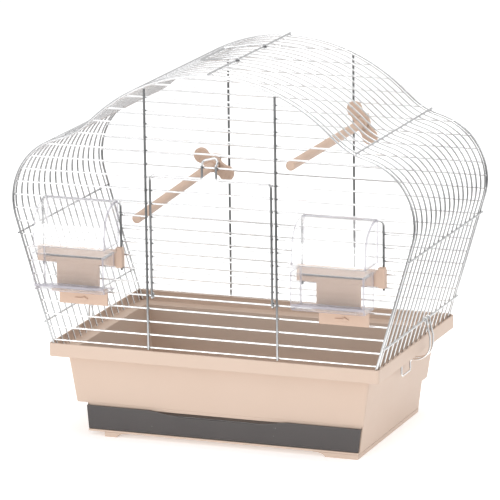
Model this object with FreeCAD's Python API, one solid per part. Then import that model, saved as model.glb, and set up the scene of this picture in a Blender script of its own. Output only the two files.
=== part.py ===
"""Wire bird cage on a plastic base, in millimetres.

The wire cage has two flat panels, front and back, joined by sixteen wires that are bent over the sides
and the roof in one outline: leaning sides, round shoulders, a shallow valley on each side and an arched
crown. It stands on a ledge inside the rim of a plastic base, held by a wire clip on each side, and a smoked
drawer slides out of the base towards the front. The front panel has a drop-down wire door and two ports,
each with a clear feeder.

X runs along the width, Y from the front to the back, Z up from the floor. The pieces are built about the
middle of the two panels. They are saved about the middle of the whole depth, which reaches from the feeders
in front to the perches behind.
"""
import FreeCAD, Part
import collections
import math
import os

Vector = FreeCAD.Vector
ALONG_X = Vector(1, 0, 0)
ALONG_Y = Vector(0, 1, 0)
ALONG_Z = Vector(0, 0, 1)

# Wire sizes
frame_wire = 2.5
bar_wire = 2.0
arch_wire = 1.8
cross_wire = 2.2
handle_wire = 2.8
clip_wire = 2.0
wire_sides = 6
bend_step = 30.0
bend_chord = 27.0
corner_chords = 4
settle_count = 20

# Clearances
hinge_clearance = 0.1
running_gap = 0.3
stand_gap = 0.45
overrun = 5.0
eye_turn = 270.0
full_turn = 360.0

# Cage outline, heights above the rim
cage_depth = 240.0
base_half = 180.1
shoulder_half = 222.0
shoulder_radius = 69.4
shoulder_rise = 152.1
valley_half = 150.8
valley_rise = 225.2
valley_radius = 68.0
ridge_straight = 21.0
crown_rise = 295.3

# Wires along the depth, and where they cross the outline
arch_count = 16
arch_pitch = 14.95
lower_cross_rise = 22.4
upper_cross_rise = 116.4
valley_cross_rise = 223.0

# Panel bars
bar_pitch = 14.03
first_bar_rise = 2.4
top_bar_room = 6.0
upright_half = 71.8
upright_end_rise = 0.6

# Door in the front panel
door_half = 66.8
door_hinge_bar = 4
door_latch_bar = 14
door_top_rise = 187.3
door_corner = 5.0
latch_left = 8.7
latch_right = 6.8
latch_lean = 0.5
latch_rise = 4.6
latch_bow = 9.0
latch_bend = 2.2

# Feeder ports in the front panel
port_centre = 144.3
port_half = 44.1
port_corner = 5.0
port_low_bar = 6
port_high_bar = 11
port_leg_end = 2.6

# Base
base_height = 101.0
rim_band = 14.6
band_wall = 1.8
rim_corner = 3.0
ledge_drop = 4.5
ledge_wall = 2.2
tub_wall = 2.2
tub_corner = 4.0
tub_foot_corner = 1.5
tub_top_half = 169.5
tub_top_front = 110.4
tub_top_back = 108.0
tub_bottom_half = 160.5
tub_bottom_front = 106.4
tub_bottom_back = 102.0
bay_height = 34.4
bay_left_top = 147.8
bay_left_bottom = 145.8
bay_right_bottom = 156.3
bay_back = 84.0
bay_floor = 2.2
bay_rail = 3.2
lip_reach = 110.5
foot_height = 4.9
foot_depth = 26.0
foot_curve = 14.0
foot_arc_share = 0.25
foot_draft = 0.7
left_foot_outer = 127.3
left_foot_inner = 100.2
right_foot_inner = 105.4
runner_wall = 5.0

# Drawer
drawer_plate = 3.0
drawer_plate_inset = 0.8
drawer_plate_top_inset = 1.8
drawer_plate_drop = 1.8
drawer_wall = 1.8
drawer_side_gap = 1.2
drawer_back_gap = 2.0
drawer_height = 21.5
scoop_half = 77.0
scoop_flat_half = 39.0
scoop_depth = 4.8

# Carry handle
handle_half = 40.5
handle_grip_half = 36.0
handle_leg = 43.0
handle_shoulder = 14.3
handle_corner = 9.0

# Side clips
clip_spacing = 10.0
clip_centre = 14.95
clip_bulge = 12.1
clip_bulge_rise = 4.0
clip_catch_reach = 7.9
clip_tail_drop = 7.0
clip_tab_width = 28.0
clip_tab_drop = 12.0
clip_bend = 3.0
clip_sweep = 12.0
clip_bridge_bend = 1.6

# Feeders
feeder_shift = 1.7
feeder_wall = 1.6
feeder_flange = 2.5
feeder_flange_wall = 2.0
hood_half = 40.4
hood_depth = 39.0
hood_lean = 1.2
hood_curve = 30.0
hood_top_rise = 158.4
cup_half = 38.4
cup_depth = 40.0
cup_bevel = 6.0
cup_bevel_depth = 3.5

# Feeder brackets, offsets along the width from the middle of the port
bracket_depth = 8.3
bracket_wall = 2.6
bracket_half = 47.6
bracket_bar_top = 103.5
bracket_bar_height = 9.0
bracket_box_width = 7.0
bracket_box_height = 19.5
bracket_plate_inner = 26.5
bracket_plate_outer = 22.0
bracket_shelf_rise = 64.7
bracket_shelf_depth = 14.0
bracket_lip_inner = 23.7
bracket_lip_outer = 30.6
bracket_lip_rise = 46.0
jaw_grip = 1.6
jaw_clearance = 0.05

# Perches, their places counted from the middle of the cage; droop and wing turn in degrees
left_perch_place = 86.6
left_perch_bar = 10
left_perch_length = 221.0
left_perch_droop = 3.1
left_wing_turn = -33.0
right_perch_place = 84.2
right_perch_bar = 14
right_perch_length = 220.0
right_perch_droop = 0.3
right_wing_turn = -59.5
perch_diameter = 10.0
wing_half = 25.5
wing_lobe = 8.6
wing_waist = 5.5
wing_wall = 6.0
wing_pad = 8.6
wing_recess = 1.2
socket_wall = 2.0
socket_depth = 7.0
neck_diameter = 8.0
lock_half = 9.5
lock_width = 9.6
lock_wall = 3.5
press_clearance = 0.02


def wire_corners(heading, facing, diameter):
    """Corner offsets of the flat-sided section round a wire, with one of its flats towards facing."""
    sideways = facing - heading * facing.dot(heading)
    sideways.normalize()
    across = heading.cross(sideways)
    reach = diameter / 2 / math.cos(math.pi / wire_sides)
    angles = [math.pi * (2 * count + 1) / wire_sides for count in range(wire_sides)]
    return [sideways * (reach * math.cos(angle)) + across * (reach * math.sin(angle)) for angle in angles]


def flat_face(corners):
    return Part.Face(Part.makePolygon(corners + corners[:1]))


def skinned(rings):
    """Solid with flat sides between rings that have the same number of corners."""
    faces = [flat_face(rings[0]), flat_face(rings[-1])]
    for lower, upper in zip(rings, rings[1:]):
        for place in range(len(lower)):
            faces.append(flat_face([lower[place - 1], lower[place], upper[place], upper[place - 1]]))
    shell = Part.Shell(faces)
    shell.sewShape()
    solid = Part.makeSolid(shell)
    if solid.Volume < 0:
        solid.reverse()
    return solid


def joined(pieces):
    """The pieces as one solid."""
    if len(pieces) == 1:
        return pieces[0]
    return pieces[0].multiFuse(pieces[1:]).removeSplitter()


def mitred_wire(stops, diameter, facing):
    """Wire of straight runs between the stops, mitred at each."""
    heading = (stops[1] - stops[0]).normalize()
    offsets = wire_corners(heading, facing, diameter)
    rings = [[stops[0] + offset for offset in offsets]]
    for before, after in zip(stops[1:], stops[2:]):
        leave = (after - before).normalize()
        mitre = (heading + leave).normalize()
        cut = [offset - heading * (offset.dot(mitre) / heading.dot(mitre)) for offset in offsets]
        rings.append([before + offset for offset in cut])
        offsets = [offset - leave * offset.dot(leave) for offset in cut]
        heading = leave
    rings.append([stops[-1] + offset for offset in offsets])
    return skinned(rings)


def arc_stops(start, centre, axis, turn):
    """Points along an arc from start, in equal short chords; turn is in degrees."""
    radius = (start - centre).Length
    count = max(math.ceil(turn / bend_step), math.ceil(math.radians(turn) * radius / bend_chord))
    swings = [FreeCAD.Rotation(axis, turn * place / count) for place in range(count + 1)]
    return [centre + swing.multVec(start - centre) for swing in swings]


def bent_stops(points, bends):
    """Points of a wire that runs through the points, with a bend of the given radius at each inner one."""
    heading = (points[1] - points[0]).normalize()
    stops = [points[0]]
    for corner, after, radius in zip(points[1:], points[2:], bends):
        leave = (after - corner).normalize()
        turn = heading.getAngle(leave)
        start = corner - heading * (radius * math.tan(turn / 2))
        axis = heading.cross(leave).normalize()
        bend = arc_stops(start, start + axis.cross(heading) * radius, axis, math.degrees(turn))
        if (start - stops[-1]).Length < running_gap:
            bend = bend[1:]
        stops += bend
        heading = leave
    if (points[-1] - stops[-1]).Length > running_gap / 2:
        stops.append(points[-1])
    return stops


def bent_wire(points, bends, diameter, facing):
    return mitred_wire(bent_stops(points, bends), diameter, facing)


def eye_radius(pin, wire):
    """Bend radius of an eye that clears its pin at the middle of each chord."""
    return ((pin + wire) / 2 + hinge_clearance) / math.cos(math.radians(bend_step) / 2)


def straight_wire(start, end, diameter, facing=ALONG_Z):
    return bent_wire([start, end], [], diameter, facing)


def round_wire(start, end, diameter):
    """Straight wire that something turns on, with a true round section."""
    return Part.makeCylinder(diameter / 2, (end - start).Length, start, end - start)


def box_between(low, high):
    size = high - low
    return Part.makeBox(size.x, size.y, size.z, low)


def outline_points(reaches, inset, corner, height):
    """Rounded rectangle with left, right, front and back reaches, all moved in by inset."""
    left, right, near, far = [reach - inset for reach in reaches]
    if not corner:
        return [Vector(-left, -near, height), Vector(right, -near, height),
                Vector(right, far, height), Vector(-left, far, height)]
    radius = corner - inset
    points = []
    for x, y, start in ((right - radius, -near + radius, -1), (right - radius, far - radius, 0),
                        (-left + radius, far - radius, 1), (-left + radius, -near + radius, 2)):
        for place in range(corner_chords + 1):
            angle = (start + place / corner_chords) * math.pi / 2
            points.append(Vector(x + radius * math.cos(angle), y + radius * math.sin(angle), height))
    return points


def tapered(lower, upper):
    """Solid between two outlines with the same number of corners."""
    return skinned([lower, upper])


def prism(points, height):
    return flat_face(points).extrude(ALONG_Z * height)


# Cage outline as corners and bends, in the plane of one panel

def tangent_heading(point, centre, radius, turn):
    """Direction from a point to where a line through it touches a circle, on the side that turn names."""
    to_centre = centre - point
    angle = math.atan2(to_centre.z, to_centre.x) + turn * math.asin(radius / to_centre.Length)
    return Vector(math.cos(angle), 0, math.sin(angle))


def meeting(first, first_heading, second, second_heading):
    """Point where two lines in the plane of a panel meet."""
    across = first_heading.x * second_heading.z - first_heading.z * second_heading.x
    apart = second - first
    reach = (apart.x * second_heading.z - apart.z * second_heading.x) / across
    return first + first_heading * reach


valley = Vector(valley_half, 0, valley_rise)
shoulder_centre = Vector(shoulder_half - shoulder_radius, 0, shoulder_rise)
saddle = tangent_heading(valley, shoulder_centre, shoulder_radius, 1)


def crown_arc():
    """Radius of the crown that leaves the straight stretch of the ridge between it and the valley's bend."""
    climb = crown_rise - valley_rise
    reach = ridge_straight
    for _ in range(settle_count):
        radius = (valley_half ** 2 + climb ** 2 - reach ** 2) / (climb * 2)
        ridge = tangent_heading(valley, ALONG_Z * (crown_rise - radius), radius, -1)
        reach = valley_radius * math.tan(ridge.getAngle(-saddle) / 2) + ridge_straight
    return radius


crown_radius = crown_arc()


def half_outline():
    """Corners and bend radii of the right half of the outline, from the rim to the middle of the crown."""
    foot = Vector(base_half, 0, 0)
    side = tangent_heading(foot, shoulder_centre, shoulder_radius, -1)
    ridge = tangent_heading(valley, ALONG_Z * (crown_rise - crown_radius), crown_radius, -1)
    shoulder = meeting(foot, side, valley, saddle)
    peak = meeting(valley, ridge, Vector(0, 0, 0), ALONG_Z)
    sole = foot - side * ((ledge_drop - stand_gap) / side.z)
    return [sole, shoulder, valley, peak], [shoulder_radius, valley_radius, crown_radius]


def outline_runs():
    """Right half of the outline as runs: each is its start, its end and the centre of an arc or None."""
    corners, radii = half_outline()
    runs = []
    at = corners[0]
    heading = (corners[1] - at).normalize()
    for corner, after, radius in zip(corners[1:], corners[2:] + [mirrored(corners[2])], radii):
        leave = (after - corner).normalize()
        turn = heading.getAngle(leave)
        setback = radius * math.tan(turn / 2)
        into = corner - heading * setback
        axis = heading.cross(leave).normalize()
        centre = into + axis.cross(heading) * radius
        out = corner + leave * setback
        runs += [(at, into, None), (into, out, centre)]
        at = out
        heading = leave
    return runs


def mirrored(point):
    return Vector(-point.x, point.y, point.z)


def outline_at(rise):
    """Point of the right half at a height above the rim, and the direction out of the cage there."""
    for start, end, centre in outline_runs():
        crowned = centre is not None and abs(centre.x) < running_gap
        if not min(start.z, end.z) <= rise <= (crown_rise if crowned else max(start.z, end.z)):
            continue
        if centre is None:
            share = (rise - start.z) / (end.z - start.z)
            heading = (end - start).normalize()
            return start + (end - start) * share, Vector(heading.z, 0, -heading.x)
        radius = (start - centre).Length
        side = 1 if centre.x < start.x else -1
        point = Vector(centre.x + side * math.sqrt(max(radius ** 2 - (rise - centre.z) ** 2, 0)), 0, rise)
        return point, (point - centre) * (side / radius)
    raise ValueError("the outline doesn't reach this height")


def whole_outline(inset):
    """Corners and radii of the full outline, moved in towards the cage by inset."""
    corners, radii = half_outline()
    headings = [(after - before).normalize() for before, after in zip(corners, corners[1:])]
    inner = []
    for place, corner in enumerate(corners):
        before = headings[max(place - 1, 0)]
        after = headings[place] if place < len(headings) else Vector(headings[-1].x, 0, -headings[-1].z)
        inwards = Vector(-before.z, 0, before.x) + Vector(-after.z, 0, after.x)
        inwards.normalize()
        inner.append(corner + inwards * (inset / inwards.dot(Vector(-before.z, 0, before.x))))
    shift = inner[0] - corners[0]
    inner[0] = inner[0] - headings[0] * (shift.z / headings[0].z)
    bends = [shoulder_radius - inset, valley_radius + inset, crown_radius - inset]
    lifted = [corner + ALONG_Z * base_height for corner in inner]
    other_half = [mirrored(corner) for corner in reversed(lifted[:-1])]
    return lifted + other_half, bends + list(reversed(bends[:-1]))


def outline_wire(diameter, inset, place):
    points, bends = whole_outline(inset)
    at = [point + ALONG_Y * place for point in points]
    return bent_wire(at, bends, diameter, ALONG_Y)


panel_place = cage_depth / 2
frame_inset = (frame_wire - arch_wire) / 2
bar_layer = (frame_wire + bar_wire) / 2
bar_count = math.floor((crown_rise - first_bar_rise - top_bar_room) / bar_pitch) + 1
bar_rises = [first_bar_rise + count * bar_pitch for count in range(bar_count)]


def bar_half(rise):
    """Half length of a bar that is welded to the panel outline at both ends."""
    return outline_at(rise)[0].x


def bar(left, right, rise, place):
    height = base_height + rise
    return straight_wire(Vector(left, place, height), Vector(right, place, height), bar_wire, ALONG_Y)


def hinge_bar(reach, rise, place):
    height = base_height + rise
    return round_wire(Vector(-reach, place, height), Vector(reach, place, height), bar_wire)


def front_bars():
    """Bars of the front panel, cut away at the door and at the feeder ports."""
    place = -panel_place + bar_layer
    jamb = upright_half - frame_wire / 2
    port_near = port_centre - port_half + frame_wire / 2
    port_far = port_centre + port_half - frame_wire / 2
    bars = []
    for count, rise in enumerate(bar_rises):
        reach = bar_half(rise)
        if count == door_hinge_bar:
            bars.append(hinge_bar(reach, rise, place))
            continue
        if not door_hinge_bar < count < door_latch_bar:
            bars.append(bar(-reach, reach, rise, place))
            continue
        for side in (-1, 1):
            stretches = [(jamb, reach)]
            if port_low_bar < count < port_high_bar:
                stretches = [(jamb, port_near), (port_far, reach)]
            for near, far in stretches:
                ends = sorted((side * near, side * far))
                bars.append(bar(ends[0], ends[1], rise, place))
    return bars


def back_bars():
    place = panel_place - bar_layer
    return [bar(-bar_half(rise), bar_half(rise), rise, place) for rise in bar_rises]


def uprights(place):
    """The two upright wires of a panel, from just below the lowest bar to the outline."""
    crown_centre = crown_rise - crown_radius
    top = crown_centre + math.sqrt((crown_radius - frame_inset - frame_wire / 2) ** 2 - upright_half ** 2)
    wires = []
    for side in (-1, 1):
        low = Vector(side * upright_half, place, base_height + upright_end_rise)
        high = Vector(side * upright_half, place, base_height + top - frame_wire / 2)
        wires.append(straight_wire(low, high, frame_wire, ALONG_Y))
    return wires


def port_frame(side):
    """Wire round the top and both sides of a feeder port."""
    low = base_height + bar_rises[port_low_bar] - port_leg_end
    high = base_height + bar_rises[port_high_bar]
    left = side * port_centre - port_half
    right = side * port_centre + port_half
    points = [Vector(left, -panel_place, low), Vector(left, -panel_place, high),
              Vector(right, -panel_place, high), Vector(right, -panel_place, low)]
    return bent_wire(points, [port_corner, port_corner], frame_wire, ALONG_Y)


def arches():
    first = outline_wire(arch_wire, 0, 0)
    start = -arch_pitch * (arch_count - 1) / 2
    copies = []
    for count in range(arch_count):
        arch = first.copy()
        arch.translate(ALONG_Y * (start + count * arch_pitch))
        copies.append(arch)
    return copies


def cross_place(rise):
    """Middle of a wire that lies on the outside of the arches at a height above the rim."""
    point, outwards = outline_at(rise)
    return point + outwards * ((arch_wire + cross_wire) / 2) + ALONG_Z * base_height


def cross_pair(rise):
    """Wires on both sides of the cage at a height above the rim."""
    reach = ALONG_Y * (panel_place + frame_wire / 2)
    right = cross_place(rise)
    left = mirrored(right)
    make = round_wire if rise == lower_cross_rise else straight_wire
    return [make(left - reach, left + reach, cross_wire), make(right - reach, right + reach, cross_wire)]


pivot_height = base_height + crown_rise + (arch_wire + cross_wire) / 2


def top_cross_wire():
    reach = ALONG_Y * (panel_place + frame_wire / 2)
    middle = ALONG_Z * pivot_height
    return round_wire(middle - reach, middle + reach, cross_wire)


# Door

door_plane = -panel_place + bar_layer - eye_radius(bar_wire, frame_wire)
door_low = base_height + bar_rises[door_hinge_bar]
door_high = base_height + door_top_rise


def hinge_curl(side):
    """Points of the eye that a door side forms round the hinge bar, open above it."""
    radius = eye_radius(bar_wire, frame_wire)
    start = Vector(side * door_half, door_plane, door_low)
    return arc_stops(start, start + ALONG_Y * radius, ALONG_X, eye_turn)


def door_frame():
    """The bent wire round the door, with its two hinge eyes and the latch bow in its top."""
    def at(x, z, forward=0):
        return Vector(x, door_plane - forward, z)

    over = base_height + bar_rises[door_latch_bar] + (bar_wire + frame_wire) / 2 + running_gap
    behind = -(bar_wire + frame_wire) / 2
    points = [
        at(-door_half, door_low), at(-door_half, door_high), at(-latch_left, door_high),
        at(-latch_left, over, latch_lean), at(-latch_left, over + latch_rise, behind),
        at(latch_right + latch_rise, over + latch_bow, behind), at(latch_right, over, latch_lean),
        at(latch_right, door_high), at(door_half, door_high), at(door_half, door_low),
    ]
    bends = [door_corner] + [latch_bend] * 6 + [door_corner]
    side = bent_stops(points, bends)
    left = hinge_curl(-1)
    right = hinge_curl(1)
    return mitred_wire(list(reversed(left[1:])) + side + right[1:], frame_wire, ALONG_Y)


def door_bars():
    """Bars of the door, on the inside of its frame and level with the panel's bars."""
    place = door_plane + bar_layer
    reach = door_half + frame_wire / 2
    rises = bar_rises[door_hinge_bar + 1:door_latch_bar]
    return [bar(-reach, reach, rise, place) for rise in rises]


# Carry handle

def carry_handle():
    """Wire bail folded down on the left of the crown, its two eyes round the top cross wire."""
    radius = eye_radius(cross_wire, handle_wire)
    pivot = ALONG_Z * pivot_height
    level = pivot + ALONG_Z * radius
    shoulder = -ALONG_X * handle_shoulder
    grip = -ALONG_X * handle_leg
    near = ALONG_Y * handle_half
    near_grip = ALONG_Y * handle_grip_half
    points = [level - near, level + shoulder - near, level + grip - near_grip,
              level + grip + near_grip, level + shoulder + near, level + near]
    bail = bent_stops(points, [handle_corner] * 4)
    front_eye = arc_stops(level - near, pivot - near, ALONG_Y, eye_turn)
    back_eye = arc_stops(level + near, pivot + near, ALONG_Y, eye_turn)
    handle = mitred_wire(list(reversed(front_eye[1:])) + bail + back_eye[1:], handle_wire, ALONG_Z)
    above_crown = pivot_height - base_height - crown_rise + crown_radius
    rest = crown_radius + arch_wire / 2 + running_gap + handle_wire / 2 - radius
    fold = math.degrees(math.acos(rest / above_crown))
    handle.rotate(pivot, ALONG_Y, -fold)
    return handle


# Side clips

rim_wall = frame_wire / 2 / math.cos(math.pi / wire_sides) + running_gap + band_wall
rim_half = base_half + rim_wall
rim_reach = panel_place + rim_wall


def side_clip():
    """Right-hand clip: hooked over the lower cross wire, round the rim and up against its underside."""
    pivot = cross_place(lower_cross_rise)
    eye = eye_radius(cross_wire, clip_wire)
    outside = pivot.x + eye
    inside = pivot.x - eye
    near = clip_centre - clip_spacing / 2
    far = clip_centre + clip_spacing / 2
    catch_x = rim_half - clip_catch_reach
    catch = base_height - rim_band - running_gap
    bulge_x = rim_half + clip_bulge
    bulge = base_height + clip_bulge_rise
    low = catch - clip_tail_drop
    tab_low = low - clip_tab_drop
    points = [
        Vector(catch_x, far, catch), Vector(catch_x, far, low), Vector(bulge_x, far, low),
        Vector(bulge_x, far, bulge), Vector(outside, far, pivot.z - clip_bend),
        Vector(outside, far, pivot.z + eye), Vector(inside, far, pivot.z + eye),
        Vector(inside, far, pivot.z - eye), Vector(inside, near, pivot.z - eye),
        Vector(inside, near, pivot.z + eye), Vector(outside, near, pivot.z + eye),
        Vector(outside, near, pivot.z - clip_bend), Vector(bulge_x, near, bulge), Vector(bulge_x, near, low),
        Vector(catch_x, near, low), Vector(catch_x, near, tab_low),
        Vector(catch_x, near - clip_tab_width, tab_low), Vector(catch_x, near - clip_tab_width, low),
    ]
    down = [clip_bend, clip_sweep, clip_bend, clip_bend, eye, eye]
    bends = down + [clip_bridge_bend] * 2 + list(reversed(down)) + [clip_bend] * 2
    return bent_wire(points, bends, clip_wire, ALONG_X)


# Base

ledge_height = base_height - ledge_drop
tub_top = (tub_top_half, tub_top_half, tub_top_front, tub_top_back)
tub_bottom = (tub_bottom_half, tub_bottom_half, tub_bottom_front, tub_bottom_back)
bay_top = (bay_left_top, tub_bottom_half, tub_bottom_front, bay_back)
bay_bottom = (bay_left_bottom, bay_right_bottom, tub_bottom_front, bay_back)
bay_floor_top = foot_height + bay_floor
rim = (rim_half, rim_half, rim_reach, rim_reach)


def extruded(points, low, high):
    """Flat polygon in an XZ plane, from the place low to the place high along the depth."""
    return flat_face([Vector(x, low, z) for x, z in points]).extrude(ALONG_Y * (high - low))


def foot_piece(flat_end, curve_end, outer, outer_top, low, high):
    """Foot with a flat underside and an end that curves up towards the middle of the base."""
    top = foot_height + bay_floor / 2
    middle = (flat_end + curve_end) / 2
    edges = [
        Part.Arc(Vector(curve_end, low, foot_height), Vector(middle, low, foot_height * foot_arc_share),
                 Vector(flat_end, low, 0)),
        Part.LineSegment(Vector(flat_end, low, 0), Vector(outer, low, 0)),
        Part.LineSegment(Vector(outer, low, 0), Vector(outer_top, low, foot_height)),
        Part.LineSegment(Vector(outer_top, low, foot_height), Vector(outer_top, low, top)),
        Part.LineSegment(Vector(outer_top, low, top), Vector(curve_end, low, top)),
        Part.LineSegment(Vector(curve_end, low, top), Vector(curve_end, low, foot_height)),
    ]
    return Part.Face(Part.Wire([edge.toShape() for edge in edges])).extrude(ALONG_Y * (high - low))


def base_tray():
    """Rim with its inner ledge, tub, drawer bay and feet as one moulding."""
    band_low = base_height - rim_band
    band = prism(outline_points(rim, 0, rim_corner, band_low), rim_band)
    band = band.cut(prism(outline_points(rim, band_wall, rim_corner, band_low), rim_band))
    ledge = prism(outline_points(rim, band_wall / 2, rim_corner, ledge_height - ledge_wall), ledge_wall)
    tub = tapered(outline_points(tub_bottom, 0, tub_foot_corner, bay_height),
                  outline_points(tub_top, 0, tub_corner, ledge_height))
    bay = tapered(outline_points(bay_bottom, 0, 0, foot_height),
                  outline_points(bay_top, 0, 0, bay_height))
    lip = box_between(Vector(-bay_left_bottom, -lip_reach, foot_height),
                      Vector(bay_right_bottom, -tub_bottom_front + tub_corner, bay_floor_top))
    front = -lip_reach
    right_foot = bay_right_bottom - foot_draft
    feet = [
        foot_piece(-left_foot_inner - foot_curve, -left_foot_inner, -left_foot_outer, -left_foot_outer,
                   front, front + foot_depth),
        foot_piece(-left_foot_inner - foot_curve, -left_foot_inner, -left_foot_outer, -left_foot_outer,
                   bay_back - foot_depth, bay_back),
        foot_piece(right_foot_inner + foot_curve, right_foot_inner, right_foot, bay_right_bottom,
                   front, front + foot_depth),
        extruded([(right_foot - runner_wall, 0), (right_foot, 0), (bay_right_bottom, foot_height),
                  (bay_right_bottom, bay_floor_top - bay_floor / 2),
                  (right_foot - runner_wall, bay_floor_top - bay_floor / 2)],
                 front, bay_back),
    ]
    tray = joined([band, ledge, tub, bay, lip] + feet)
    tub_hollow = tapered(
        outline_points(tub_bottom, tub_wall, tub_foot_corner + tub_wall, bay_height + tub_wall),
        outline_points(tub_top, tub_wall, tub_corner + tub_wall, ledge_height + ledge_drop))
    bay_hollow = tapered(outline_points(bay_bottom, tub_wall, 0, bay_floor_top),
                         outline_points(bay_top, tub_wall, 0, bay_height + tub_wall))
    mouth = box_between(
        Vector(-bay_left_bottom + tub_wall, -tub_bottom_front - overrun, bay_floor_top),
        Vector(bay_right_bottom - tub_wall, -tub_bottom_front + overrun, bay_height - bay_rail))
    return tray.cut(tub_hollow).cut(bay_hollow).cut(mouth).removeSplitter()


def drawer():
    """Shallow tray with a front plate that covers the mouth of the bay."""
    low = bay_floor_top + running_gap
    plate_back = -tub_bottom_front - running_gap
    plate_front = plate_back - drawer_plate
    plate_high = bay_height - drawer_plate_drop
    plate = extruded([(-bay_left_bottom, low), (bay_right_bottom - drawer_plate_inset, low),
                      (tub_bottom_half - drawer_plate_top_inset, plate_high), (-bay_left_top, plate_high)],
                     plate_front, plate_back)
    body_left = -bay_left_bottom + tub_wall + drawer_side_gap
    body_right = bay_right_bottom - tub_wall - drawer_side_gap
    body_back = bay_back - tub_wall - drawer_back_gap
    body = box_between(Vector(body_left, plate_back - drawer_plate / 2, low),
                       Vector(body_right, body_back, low + drawer_height))
    hollow = box_between(
        Vector(body_left + drawer_wall, plate_back, low + drawer_wall),
        Vector(body_right - drawer_wall, body_back - drawer_wall, low + drawer_height + overrun))
    scoop_low = plate_high - scoop_depth
    scoop = extruded([(-scoop_flat_half, scoop_low), (scoop_flat_half, scoop_low), (scoop_half, plate_high),
                      (scoop_half, plate_high + overrun), (-scoop_half, plate_high + overrun),
                      (-scoop_half, plate_high)], plate_front - overrun, plate_back + drawer_wall / 2)
    return joined([plate, body]).cut(hollow).cut(scoop)


# Feeders, built for the right-hand port

feeder_middle = port_centre - feeder_shift


def depth_profile(points, left, right):
    """Outline of forward reach and rise from the front panel, extruded across the width."""
    corners = [Vector(left, -panel_place - reach, base_height + rise) for reach, rise in points]
    return flat_face(corners).extrude(ALONG_X * (right - left))


def hood_body(inset, back, low):
    """Solid under the round roof of the hood, moved in by inset from the outer faces."""
    left = feeder_middle - hood_half + inset
    width = (hood_half - inset) * 2
    round_off = hood_curve - inset
    top = hood_top_rise - inset
    front = hood_depth - inset
    slant = round_off * (1 - math.sqrt(0.5))

    def at(reach, rise):
        return Vector(left, -panel_place - reach, base_height + rise)

    edges = [
        Part.LineSegment(at(back, low), at(back, top)),
        Part.LineSegment(at(back, top), at(front - round_off, top)),
        Part.Arc(at(front - round_off, top), at(front - slant, top - slant), at(front, top - round_off)),
        Part.LineSegment(at(front, top - round_off), at(front + hood_lean, low)),
        Part.LineSegment(at(front + hood_lean, low), at(back, low)),
    ]
    return Part.Face(Part.Wire([edge.toShape() for edge in edges])).extrude(ALONG_X * width)


def feeder_hood():
    back = frame_wire / 2
    low = bracket_bar_top
    hood = hood_body(0, back, low)
    height = base_height + low
    reach = cup_half + feeder_flange
    front = -panel_place - cup_depth - feeder_flange
    flange = box_between(
        Vector(feeder_middle - reach, front, height),
        Vector(feeder_middle + reach, -panel_place - bracket_depth, height + feeder_flange_wall))
    return joined([hood, flange]).cut(hood_body(feeder_wall, back - overrun, low - overrun))


def feeder_cup():
    top = bracket_bar_top - running_gap
    low = bracket_shelf_rise + running_gap
    back = bracket_depth + running_gap
    left = feeder_middle - cup_half
    right = feeder_middle + cup_half

    def tub_body(inset, high):
        front = cup_depth - inset
        floor = low + inset
        points = [(back + inset, floor), (front - cup_bevel_depth, floor), (front, floor + cup_bevel),
                  (front, high), (back + inset, high)]
        return depth_profile(points, left + inset, right - inset)

    flange = box_between(
        Vector(left - feeder_flange, -panel_place - cup_depth - feeder_flange,
               base_height + top - feeder_flange_wall),
        Vector(right + feeder_flange, -panel_place - back, base_height + top))
    return joined([tub_body(0, top), flange]).cut(tub_body(feeder_wall, top + overrun))


def feeder_bracket():
    """Bar clipped on the sides of the port, with a plate down behind the cup, a shelf and a thumb lip."""
    front = -panel_place - bracket_depth
    back = -panel_place - frame_wire / 2 + jaw_grip
    inner_back = -panel_place - frame_wire / 2 - jaw_clearance
    wire_reach = frame_wire / 2 / math.cos(math.pi / wire_sides) + jaw_clearance
    top = base_height + bracket_bar_top
    bar_low = top - bracket_bar_height
    left = port_centre - bracket_half
    right = port_centre + bracket_half
    shelf = base_height + bracket_shelf_rise
    shelf_low = shelf - bracket_wall
    box_low = top - bracket_box_height
    plate_left = port_centre - bracket_plate_inner
    plate_right = port_centre + bracket_plate_outer
    pieces = [
        box_between(Vector(left, front, bar_low), Vector(right, back, top)),
        box_between(Vector(right - bracket_box_width, front, box_low), Vector(right, back, top)),
        box_between(Vector(plate_left, front, shelf_low),
                    Vector(plate_right, front + bracket_wall, bar_low)),
        box_between(Vector(plate_left, front - bracket_shelf_depth, shelf_low),
                    Vector(plate_right, front, shelf)),
        box_between(Vector(port_centre - bracket_lip_inner, front, base_height + bracket_lip_rise),
                    Vector(port_centre + bracket_lip_outer, front + bracket_wall, shelf)),
    ]
    bracket = joined(pieces)
    middle = box_between(
        Vector(port_centre - port_half + wire_reach + bracket_wall, inner_back, bar_low - overrun),
        Vector(port_centre + port_half - wire_reach - bracket_wall, back + overrun, top + overrun))
    bracket = bracket.cut(middle)
    for side in (-1, 1):
        wire = port_centre + side * port_half
        channel = box_between(Vector(wire - wire_reach, inner_back, box_low - overrun),
                              Vector(wire + wire_reach, back + overrun, top + overrun))
        bracket = bracket.cut(channel)
    return bracket


# Perches, built along the depth with the wing upright and then turned and placed

bars_front = panel_place - frame_wire / 2 - bar_wire
Perch = collections.namedtuple("Perch", "place bar length droop wing_turn")
left_perch = Perch(-left_perch_place, left_perch_bar, left_perch_length,
                   left_perch_droop, left_wing_turn)
right_perch = Perch(right_perch_place, right_perch_bar, right_perch_length,
                    right_perch_droop, right_wing_turn)


def tilt_room(reach, perch):
    """Room that a face needs towards the bars when the perch droops, out to a reach from its axis."""
    return running_gap + reach * math.sin(math.radians(perch.droop))


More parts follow.
